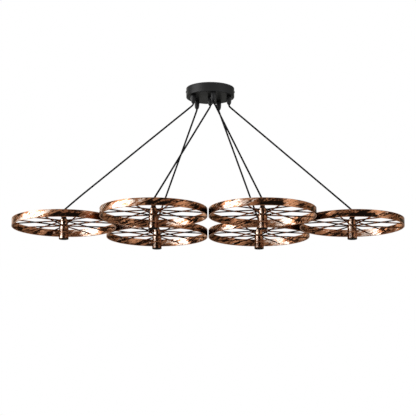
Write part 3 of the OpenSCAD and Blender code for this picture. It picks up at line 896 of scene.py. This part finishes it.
def add_rim(pendant, centre, radius, height, finish, seed):
    """The flat band, its edges rounded and its faces slightly uneven from the hammer, with its paints."""
    half, inner = height / 2, radius - RIM_T
    corners = [(inner, -half), (radius, -half), (radius, half), (inner, half)]
    points, faces = turned([(r, z, RIM_EDGE) for r, z in corners], 1.6, RIM_STEPS)
    angle = np.arctan2(points[:, 0], -points[:, 1])
    middle = radius - RIM_T / 2
    outer = np.hypot(points[:, 0], points[:, 1]) > middle
    dents = ripples(angle, points[:, 2], np.random.default_rng(seed), DENTS, 0.9)
    depth = DENT_DEPTH * dents * np.clip(1.4 - np.abs(points[:, 2]) / half, 0.15, 1)
    points[:, :2] *= (1 + np.where(outer, -1.0, 1.0) * depth / middle)[:, None]
    level = points[:, 2] / half
    far_angle = np.arctan2(points[:, 0], points[:, 1])
    # Painted highlights, painted reflections and painted shade with aged marks, by angle round the band.
    near = patched(angle, level, OUTER_PATCHES) + HIGHLIGHT_SHADED[pendant] * patched(angle, level, HIGHLIGHT_SHADE_PATCH)
    fitted(
        f"{pendant}_rim_band", (points, faces), finish, "rust_copper", f"{pendant}_wheel", f"{pendant}_rim",
        centre, 50, seed=seed, rub=np.clip((np.abs(level) - 0.86) / 0.1, 0, 1),
        patina=np.where(outer, near, patched(far_angle, level, INNER_PATCHES)),
        around=np.where(outer, angle, far_angle) * radius * MM)


def spoke_form(k, rim_inner, rng):
    """One straight rod from a flange to the rim, thicker in the weld at both ends, and its darkness.

    It is darker in its welds, and darker the more it runs to the left or right, which is painted shade.
    """
    angle = math.radians(90 - k * 360 / SPOKES)
    start_z = UPPER_FLANGE if k % 2 == 0 else LOWER_FLANGE
    way = np.array((math.cos(angle), math.sin(angle), 0.0))
    start = way * (FLANGE_R - SPOKE_IN_FLANGE) + (0, 0, start_z)
    end = way * (rim_inner + SPOKE_IN_RIM)
    ends = np.array([0.0, 0.5, 0.9, 1.4, 2.1, 3.0, 4.2, 6.0])
    long = np.linalg.norm(end - start)
    places = np.concatenate([ends, np.linspace(9, long - 9, 22), long - ends[::-1]])
    off_end = np.minimum(places, long - places)
    weld = (WELD_T + WELD_MORE * rng.random()) * np.exp(-(off_end / WELD_REACH) ** 2)
    radii = SPOKE_R + weld + SPOKE_GRAIN * rng.standard_normal(len(places)) * (off_end > 5)
    line = start + np.outer(places / long, end - start)
    # Painted shade on rods that run left or right, and darker welds.
    darkness = np.repeat(0.15 + 0.45 * abs(way[0]) + 0.6 * weld, SPOKE_SIDES)
    return swept(line, radii, SPOKE_SIDES), darkness


def add_spokes(pendant, centre, rim_inner, finish, seed):
    """The sixteen rods of one wheel, by turns from its upper and its lower flange."""
    rng = np.random.default_rng(seed)
    rods = [spoke_form(k, rim_inner, rng) for k in range(SPOKES)]
    fitted(
        f"{pendant}_spoke_rods", gathered(*[form for form, _ in rods]), finish, "spoke_copper",
        f"{pendant}_wheel", f"{pendant}_spokes", centre, 50, rub=0.0, seed=seed,
        patina=np.concatenate([dark for _, dark in rods]))


# Marks down a lampholder: the angle of each from its front, half its width, and how dark it is.
# The mark at 4 degrees is a painted reflection of something dark, and the one at -28, lighter, is a
# painted highlight where the left softbox reflects; the others are aged dark drips.
MARKS_AND_PAINTED_LIGHT = [(4, 10, 1.3), (-28, 14, -1.5), (80, 16, 0.8), (-75, 14, 0.8), (150, 20, 0.9)]
# Black bands round it: their low and high edge, and how dark they are. The band at the foot of
# the collar is painted shade, for the dark mouth seen from below.
DARK_LINES = [
    (CAP_FOOT - 0.2, CAP_FOOT + 2.5, 1.2), (CAP_FOOT + 2.5, CAP_TOP, 4.5),
    (SHOULDER - 0.8, SHOULDER + 0.6, 3.0), (GROOVE_LOW, GROOVE_TOP, 3.0), (COLLAR_END, COLLAR_END + 1.6, 4.0),
]


def lampholder_patina(points):
    """Darker drips down a turned piece, a painted reflection and a painted highlight, black on its neck
    and in its joints and groove, and painted shade at its mouth.
    """
    angle = np.degrees(np.arctan2(points[:, 0], -points[:, 1]))
    total = np.zeros(len(points))
    for middle, half, dark in MARKS_AND_PAINTED_LIGHT:
        off = np.abs((angle - middle + 180) % 360 - 180)
        total += dark * np.clip(1.5 - off / half, 0, 1)
    for low, high, dark in DARK_LINES:
        total += dark * np.clip(1 - np.maximum(low - points[:, 2], points[:, 2] - high) / 0.8, 0, 1)
    return total


def edge_rub(points, corners):
    """How close each point of a turned piece lies to one of its rounded corners."""
    across = np.hypot(points[:, 0], points[:, 1])
    rub = np.zeros(len(points))
    for r, z, radius in corners:
        if radius > 0:
            off = np.hypot(across - r, points[:, 2] - z)
            rub = np.maximum(rub, np.clip(1.6 - off / CORNER_REACH, 0, 1))
    return rub * (points[:, 2] > COLLAR_END + 2)


def add_turned(pendant, node, body, corners, steps, finish, slot, centre, seed, longest=2.0):
    """A turned piece of one pendant, from its outline's corners in millimetres."""
    form = turned(corners, longest, steps)
    fitted(
        f"{pendant}_{node}_body", form, finish, slot, f"{pendant}_{body}", f"{pendant}_{node}", centre, 35,
        patina=lampholder_patina(form[0]), rub=edge_rub(form[0], corners), seed=seed)


def add_hub(pendant, centre, finish, seed):
    """The hub: a barrel between two flanges, with a plain boss on top."""
    half = FLANGE_T / 2
    corners = [
        (HUB_BORE_R, -HUB_DOWN, 0.2), (FLANGE_R, LOWER_FLANGE - half, 0.6),
        (FLANGE_R, LOWER_FLANGE + half, 0.6), (HUB_R, LOWER_FLANGE + half, 0.8),
        (HUB_R, UPPER_FLANGE - half, 0.8), (FLANGE_R, UPPER_FLANGE - half, 0.6),
        (FLANGE_R, UPPER_FLANGE + half, 0.6), (HUB_R, UPPER_FLANGE + half, 0.3),
        (HUB_R, HUB_UP, 0.4), (HUB_BORE_R, HUB_UP, 0.2),
    ]
    add_turned(pendant, "hub", "wheel", corners, 96, finish, "rust_copper", centre, seed)


def add_lampholder(pendant, centre, copper, black, brass, seed):
    """The cap, the shell with its barrel and collar, the black insert and the lamp's contacts."""
    flare_low, flare = CAP_FOOT + CAP_FOOT_T, CAP_FOOT_R - CAP_NECK_R
    curve = [(CAP_NECK_R + flare * (1 - math.cos(a)), flare_low + CAP_FLARE * (1 - math.sin(a)), 0)
             for a in np.linspace(math.pi / 2, 0, 10)]
    cap = [
        (SPIGOT_R, CAP_FOOT, 0), (CAP_FOOT_R, CAP_FOOT, 0.3), *curve,
        (CAP_NECK_R, CAP_TOP - CAP_SLOPE, 1.2), (CAP_TOP_R, CAP_TOP, 0.8), (GRIP_MOUTH_R, CAP_TOP, 0.3),
        (GRIP_BORE_R, CAP_TOP - 4, 0), (BORE_R, CAP_TOP - 8, 0), (BORE_R, SPIGOT_TOP, 0),
        (SPIGOT_R, SPIGOT_TOP, 0),
    ]
    add_turned(pendant, "cap", "lampholder", cap, 72, copper, "lampholder_copper", centre, seed)
    shell = [
        (BORE_R, SPIGOT_TOP, 0), (BORE_R, SHOULDER - 2, 0), (SHELL_INNER_R, SHOULDER - 2, 0),
        (SHELL_INNER_R, COLLAR_END, 0.3), (COLLAR_R, COLLAR_END, 0.6), (COLLAR_R, GROOVE_LOW, 0.5),
        (GROOVE_R, GROOVE_LOW, 0.15), (GROOVE_R, GROOVE_TOP, 0.15), (SHELL_R, GROOVE_TOP, 0.5),
        (SHELL_R, SHOULDER, 0.6), (BARREL_R, SHOULDER, 0), (BARREL_R, CAP_FOOT, 0),
        (SPIGOT_R, CAP_FOOT, 0), (SPIGOT_R, SPIGOT_TOP, 0.2),
    ]
    add_turned(pendant, "shell", "lampholder", shell, 96, copper, "lampholder_copper", centre, seed + 3)
    shell_r, contact_top = SOCKET_R + SOCKET_WALL, CONTACT_LOW + CONTACT_T
    insert = [
        (RIVET_R, INSERT_TOP, 0), (RIVET_R, contact_top, 0), (shell_r, contact_top, 0),
        (shell_r, SOCKET_LOW, 0), (shell_r, INSERT_END, 0.6), (9.6, INSERT_END, 0.2),
        (9.9, INSERT_END + 0.5, 0.2), (11.3, INSERT_END + 0.5, 0.2), (11.6, INSERT_END, 0.2),
        (INSERT_R, INSERT_END, 0.3), (INSERT_R, INSERT_TOP, 0),
    ]
    add_turned(pendant, "insert", "lampholder", insert, 72, black, "insert_black", centre, seed, 3.0)
    thread = threaded(SOCKET_R + 0.2, shell_r, SOCKET_LOW, SOCKET_TOP, THREAD_PITCH, 48, SOCKET_R)
    tongue = turned([
        (AXIS_R / 2, CONTACT_LOW, 0), (CONTACT_R * 0.55, CONTACT_LOW, 0.3),
        (CONTACT_R * 0.7, CONTACT_LOW + 0.5, 0.3), (CONTACT_R, CONTACT_LOW + 0.6, 0.2),
        (CONTACT_R, contact_top, 0.1), (RIVET_R, contact_top, 0), (RIVET_R, INSERT_TOP, 0),
        (AXIS_R / 2, INSERT_TOP, 0)], 1.5, 40)
    for label, form, sharp_deg in (("screw_shell", thread, 60), ("centre_contact", tongue, 35)):
        fitted(
            f"{pendant}_{label}", form, brass, "contact_brass", f"{pendant}_lampholder",
            f"{pendant}_contacts", centre, sharp_deg)


def add_pendants():
    """Each pendant's wheel and lampholder, placed and sized from its rim in the frame."""
    rim_copper = aged_copper("rim_aged_copper", (22.0, 22.0, 150.0), 0.28, lean=20.0)
    hub_copper = aged_copper("hub_aged_copper", (230.0, 230.0, 75.0), 0.22, relief=0.12)
    spoke_copper = aged_copper(
        "spoke_aged_copper", (60.0, 60.0, 60.0), 0.36, (0.21, 0.088, 0.042, 1.0),
        grazed=(0.16, 0.09, 0.06, 1.0))
    black = moulded(
        "insert_black_moulding", (0.004, 0.004, 0.004, 1.0), (0.008, 0.008, 0.008, 1.0), 0.6, 1400.0, 0.08)
    brass = plated("socket_brass", (0.75, 0.54, 0.22, 1.0), (0.55, 0.36, 0.14, 1.0), 0.25)
    for k, pendant in enumerate(PENDANTS):
        radius, height, centre = round_size(f"{pendant}_rim")
        seed = 5 + 7 * k
        add_rim(pendant, centre, radius, height, rim_copper, seed)
        add_spokes(pendant, centre, radius - RIM_T, spoke_copper, seed)
        add_hub(pendant, centre, hub_copper, seed)
        add_lampholder(pendant, centre, hub_copper, black, brass, seed)


add_pendants()


# Canopy ------------------------------------------
def add_carried(name, forms, finish, slot, node, sharp_deg=40):
    """One piece that the canopy carries, from its forms in millimetres."""
    fitted(name, gathered(*forms), finish, slot, "canopy", node, sharp_deg=sharp_deg)


def add_canopy(finish):
    """The cup: a rounded drum, drilled for its six grips and two side screws."""
    radius, height, _ = round_size("canopy_shell")
    inner, floor = radius - CANOPY_WALL, -height + CANOPY_WALL
    cup = turned([
        (AXIS_R, floor, 0), (inner, floor, CANOPY_EDGE - CANOPY_WALL), (inner, 0, 0.4), (radius, 0, 0.7),
        (radius, -height, CANOPY_EDGE), (AXIS_R, -height, 0)], 6.0, 160, 6)
    holes = [upright(x, y, -height - 2, floor + 2, GRIP_THREAD_R + 0.15) for x, y in GRIP_SPOTS]
    for side in (-1, 1):
        holes.append(bar_along(
            (side * (inner - 2), 0, -SCREW_DROP), (side * (radius + 2), 0, -SCREW_DROP), SCREW_R + 0.3))
    add_carried("canopy_cover", [drilled(cup, holes)], finish, "canopy_black", "canopy_shell")
    return -height


def add_grips(canopy_low, finish):
    """Six conical cord grips, each with a thread up through the canopy."""
    tip = canopy_low - GRIP_H
    cone = turned([
        (GRIP_BORE_R, tip + 4, 0), (GRIP_MOUTH_R, tip, 0.2), (GRIP_TIP_R, tip, 0.9),
        (GRIP_SHOULDER_R - 0.7, tip + 3.0, 1.8), (GRIP_SHOULDER_R, tip + GRIP_SHOULDER_H, 2.0),
        (GRIP_R, canopy_low - GRIP_COLLAR_H, 4.0), (GRIP_R, canopy_low - 0.9, 0.15),
        (GRIP_R - 0.35, canopy_low - 0.7, 0.1), (GRIP_R - 0.35, canopy_low, 0),
        (GRIP_BORE_R, canopy_low, 0)], 3.0, 56)
    thread = threaded(
        GRIP_THREAD_R - 0.5, GRIP_THREAD_R, canopy_low, canopy_low + GRIP_THREAD_H, 1.5, 32, GRIP_BORE_R)
    forms = [moved(form, (x, y, 0)) for x, y in GRIP_SPOTS for form in (cone, thread)]
    add_carried("cord_grip_cones", forms, finish, "grip_black", "cord_grips")


def add_nuts(canopy_low, finish):
    """The nuts that hold the grips inside the canopy."""
    nut = hexagon(NUT_FLATS, NUT_T, GRIP_THREAD_R + 0.05, 0.5)
    forms = [moved(nut, (x, y, canopy_low + CANOPY_WALL)) for x, y in GRIP_SPOTS]
    add_carried("grip_nut_set", forms, finish, "zinc_steel", "grip_nuts", 20)


def add_tails(finish):
    """The end of each cord inside its grip: the sheath, cut square round its sleeved cores."""
    tip = ROUTES["left"][0][2] / MM + TAIL_LIFT
    radius, inner = CORD_D / 2 / MM, CORE_R + 0.15
    sheath = turned([
        (inner, tip, 0.1), (radius, tip, 0.1), (radius, TAIL_TOP, 0.25), (inner, TAIL_TOP, 0.15)], 6.0, 24)
    forms = [moved(sheath, (x, y, 0)) for x, y in GRIP_SPOTS]
    add_carried("cord_tail_sheaths", forms, finish, "cord_black", "cord_tails")


def add_cores(finish):
    """The sleeved cores of each cord: up from its sheath, over in a quarter turn, level into the block."""
    forms = []
    bend = np.linspace(0, math.pi / 2, 9)
    for (x, y), (end_x, end_y), (in_x, in_y) in zip(GRIP_SPOTS, CORE_ENDS, CORE_WAYS):
        way = np.array((end_x - x, end_y - y))
        far = np.linalg.norm(way)
        way = way / far
        outs = [0.0, 0.0, *(CORE_BEND * (1 - np.cos(bend))), *np.linspace(CORE_BEND, far, 8)[1:]]
        ups = [TAIL_TOP - 6, TAIL_TOP, *(CORE_LEVEL + CORE_BEND * (np.sin(bend) - 1)), *([CORE_LEVEL] * 7)]
        line = [(x + way[0] * out, y + way[1] * out, up) for out, up in zip(outs, ups)]
        line.append((end_x + in_x * 1.2, end_y + in_y * 1.2, CORE_LEVEL))
        forms.append(swept(line, [CORE_R - 0.15] * 2 + [CORE_R] * (len(line) - 3) + [CORE_R - 0.2], 16))
    add_carried("sleeved_cores", forms, finish, "core_sleeve", "core_wires")


def add_crossbar(finish):
    """The ceiling strip: steel bent down at both ends, with rounded ears, two ceiling holes and slots."""
    low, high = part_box("crossbar")
    out, down, half_w = high.x / MM, low.z / MM, high.y / MM
    middle, corner = BAR_T / 2, BAR_CORNER
    centre_x, bend = out - middle, BAR_BEND
    turn = np.linspace(0, math.pi / 2, 7)
    right = [(centre_x - bend + bend * math.sin(a), -middle - bend * (1 - math.cos(a))) for a in turn]
    ear = down + corner
    drop = np.concatenate([np.linspace(-middle - bend, ear, 5)[1:], ear - np.linspace(0, corner, 9)[1:]])
    right += [(centre_x, z) for z in drop]
    line = [(-x, z) for x, z in right[::-1]] + [(0.0, -middle)] + right
    widths = []
    for _, z in line:
        near = min(max(z - down, 0.0), corner)
        widths.append(half_w - corner + math.sqrt(max(corner ** 2 - (corner - near) ** 2, 0.0)) + 0.001)
    holes = [upright(side * BAR_HOLE_X, 0, -4, 2, BAR_HOLE_R) for side in (-1, 1)]
    for x in (-BAR_SLOT_X, BAR_SLOT_X):
        holes.append(slab((x - 4, -1.6, -4), (x + 4, 1.6, 2), 1.2, 4))
    strip = drilled(bent_strip(line, widths, middle, 0.3), holes)
    add_carried("ceiling_crossbar", [strip], finish, "zinc_steel", "crossbar", 30)


def screw(head_r, head_h, shank_r, shank_l, pitch, crossed=True):
    """A pan-headed screw standing on its head's underside at z = 0, with a cross recess or a slot."""
    head = turned([
        (AXIS_R, 0, 0), (head_r, 0, 0.2), (head_r * 0.96, head_h * 0.5, head_h * 0.3),
        (head_r * 0.7, head_h, head_h * 0.5), (AXIS_R, head_h, 0)], 1.0, 40, 4)
    half, deep = head_r * 0.13, head_h * 0.4
    reach = head_r * 0.58 if crossed else head_r + 1
    bars = [(reach, half)]
    if crossed:
        bars.append((half, reach))
    for x, y in bars:
        head = drilled(head, [slab((-x, -y, deep), (x, y, head_h + 1), half * 0.4)])
    return gathered(head, threaded(shank_r * 0.8, shank_r, -shank_l, 0.0, pitch, 28))


def add_screws(black, green, zinc):
    """The two side screws, the earth screw and the screw that holds the block."""
    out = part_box("canopy_screws")[1].x / MM - SCREW_HEAD_H
    side_screw = screw(*SIDE_SCREW)
    forms = [moved(laid(side_screw, side), (side * out, 0, -SCREW_DROP)) for side in (-1, 1)]
    add_carried("canopy_side_screws", forms, black, "canopy_black", "canopy_screws")
    earth = moved(upended(screw(*EARTH_SCREW)), (EARTH_X, 0, -BAR_T - 0.05))
    add_carried("earth_clamp_screw", [earth], green, "earth_green", "earth_screw")
    fixing = moved(upended(screw(*FIXING_SCREW, crossed=False)), (BLOCK_X, 0, BLOCK_LOW + 1.5))
    add_carried("block_fixing_screw", [fixing], zinc, "zinc_steel", "terminal_screw")


def add_terminal_block(nylon, brass):
    """The nylon block: notched, with a funnel for each cord's cores and a sunk clamp screw at each."""
    low, high = (np.array(corner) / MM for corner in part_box("terminal_block"))
    under, above = low[2] - 1, high[2] + 1
    cuts = [upright(BLOCK_X, 0, under, above, 1.7), upright(BLOCK_X, 0, under, low[2] + 1.5, 3.2)]
    for (x, y), (in_x, in_y) in zip(CORE_ENDS, CORE_WAYS):
        cuts.append(bar_along(
            (x - in_x, y - in_y, CORE_LEVEL), (x + 4 * in_x, y + 4 * in_y, CORE_LEVEL), 2.0))
    cuts += [upright(x, y, under, low[2] + 1.6, CLAMP_HOLE_R) for x, y in CLAMP_SPOTS]
    for x in (BLOCK_X - 4.6, BLOCK_X + 4.6):
        cuts += [upright(x, side * (high[1] + 0.5), under, above, NOTCH_R) for side in (-1, 1)]
    body = slab(low, high, 0.8, 3)
    for cut in cuts:
        body = drilled(body, [cut])
    add_carried("terminal_block_body", [body], nylon, "block_nylon", "terminal_block", 30)
    clamp = upended(screw(*CLAMP_SCREW, crossed=False))
    forms = [moved(clamp, (x, y, low[2] + 1.5)) for x, y in CLAMP_SPOTS]
    add_carried("terminal_clamp_screws", forms, brass, "zinc_steel", "terminal_block")


satin = satin_black()
grip_finish = moulded("grip_black_moulding", (0.007, 0.007, 0.0075, 1.0), (0.011, 0.011, 0.0115, 1.0), 0.36)
zinc = plated("zinc_plate", (0.55, 0.56, 0.58, 1.0), (0.42, 0.42, 0.41, 1.0), 0.32)
earth_green = plated("earth_green_plate", (0.06, 0.26, 0.09, 1.0), (0.04, 0.17, 0.07, 1.0), 0.35)
nylon = moulded("block_nylon", (0.62, 0.58, 0.48, 1.0), (0.72, 0.68, 0.58, 1.0), 0.42, 900.0, 0.4)
sleeve = moulded("core_sleeve_white", (0.6, 0.58, 0.53, 1.0), (0.72, 0.7, 0.65, 1.0), 0.55, 1600.0, 0.3)
canopy_low = add_canopy(satin)
add_grips(canopy_low, grip_finish)
add_nuts(canopy_low, zinc)
add_tails(cord_finish)
add_cores(sleeve)
add_crossbar(zinc)
add_screws(satin, earth_green, zinc)
add_terminal_block(nylon, zinc)

# Light -------------------------------------------
add_world()
add_floor()
for softbox in SOFTBOXES:
    add_softbox(*softbox)

scene = bpy.context.scene
scene.view_settings.view_transform = "Standard"
